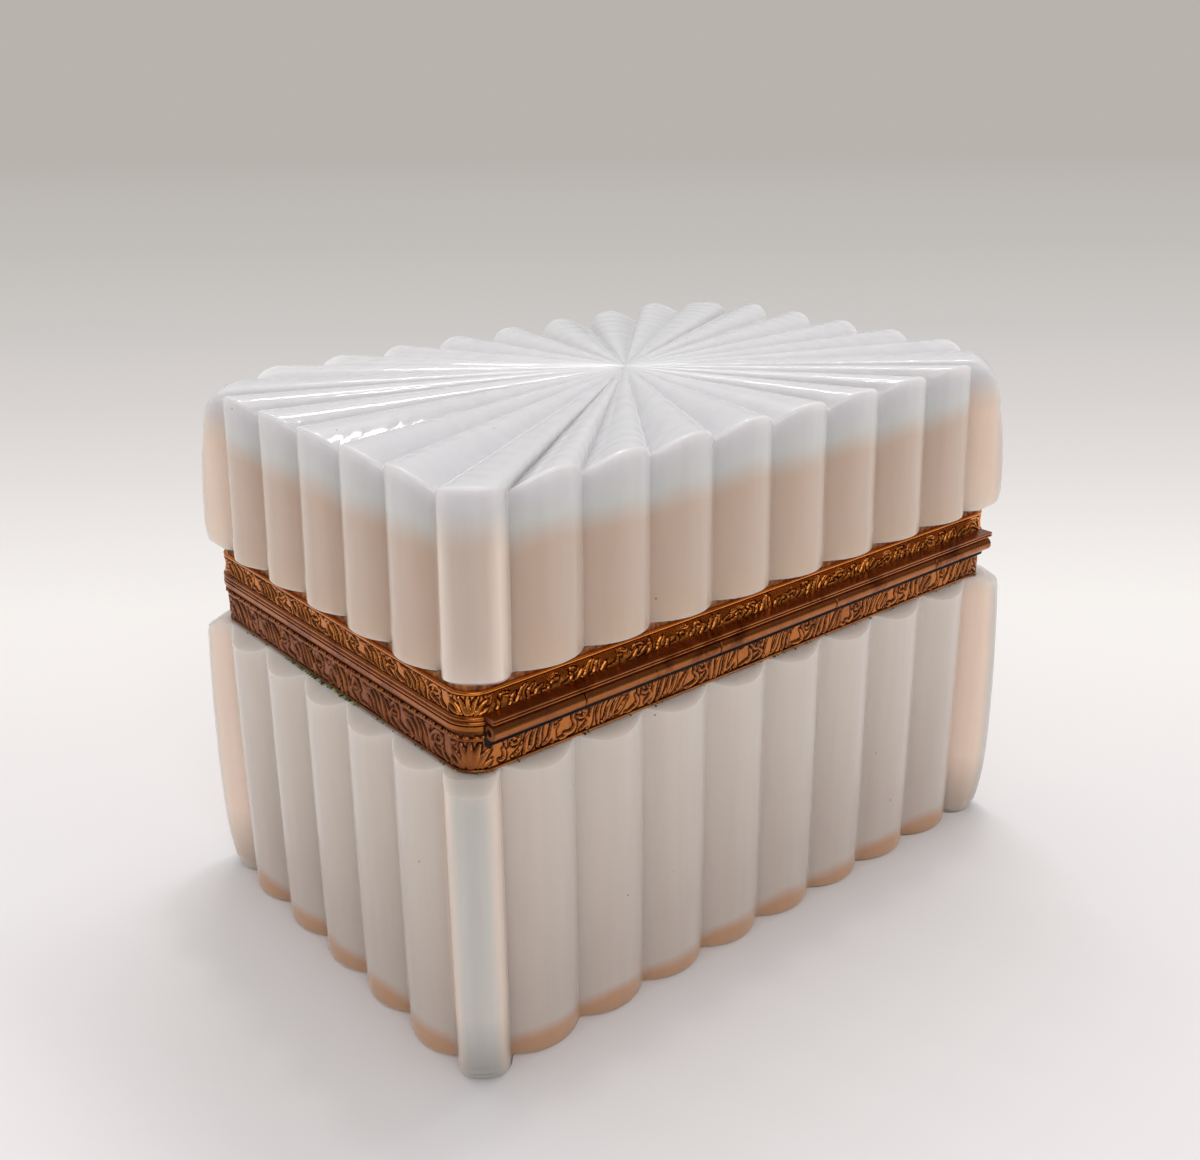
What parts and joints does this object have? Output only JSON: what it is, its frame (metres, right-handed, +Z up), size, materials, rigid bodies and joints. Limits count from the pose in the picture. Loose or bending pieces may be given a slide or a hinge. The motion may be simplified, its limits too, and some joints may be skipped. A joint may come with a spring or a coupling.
{
  "type": "reeded glass casket box",
  "caption": "Rectangular casket of thick reeded opal glass with a sunburst-cut hinged lid and a chased gilt brass mount.",
  "frame": {"origin": "middle of the base, on the surface the box stands on", "axes": "+Z up, X along the long walls, +Y towards the hinge, -Y towards the thumb piece"},
  "size_m": [0.1566, 0.1048, 0.1155],
  "materials": {
    "opaline_glass": "thick milky opal glass, cut and polished",
    "gilt_brass": "chased and fire-gilt, worn and darkened in the hollows",
    "plain_brass": "drawn brass, worn to a soft brown",
    "pin_brass": "plain drawn wire",
    "cement": "old brown plaster bedding"
  },
  "bodies": {
    "body": {"body_glass": "opaline_glass", "body_cement": "cement", "body_band": "gilt_brass", "body_beading": "gilt_brass", "body_flange": "gilt_brass", "body_liner": "gilt_brass", "locating_rim": "gilt_brass", "body_hinge_leaf": "plain_brass", "body_knuckle_left": "plain_brass", "body_knuckle_middle": "plain_brass", "body_knuckle_right": "plain_brass", "hinge_pin": "pin_brass"},
    "lid": {"lid_glass": "opaline_glass", "lid_cement": "cement", "lid_band": "gilt_brass", "lid_bead": "gilt_brass", "lid_flange": "gilt_brass", "lid_liner": "gilt_brass", "lid_hinge_leaf": "plain_brass", "lid_knuckle_left": "plain_brass", "lid_knuckle_right": "plain_brass", "thumb_piece": "gilt_brass", "thumb_rivets": "pin_brass"}
  },
  "joints": [
    {"name": "lid_hinge", "type": "hinge", "parent": "body", "child": "lid", "pos_m": [0, 0.0492, 0.0714], "axis": [-1, 0, 0], "range_deg": [0, 115]}
  ]
}
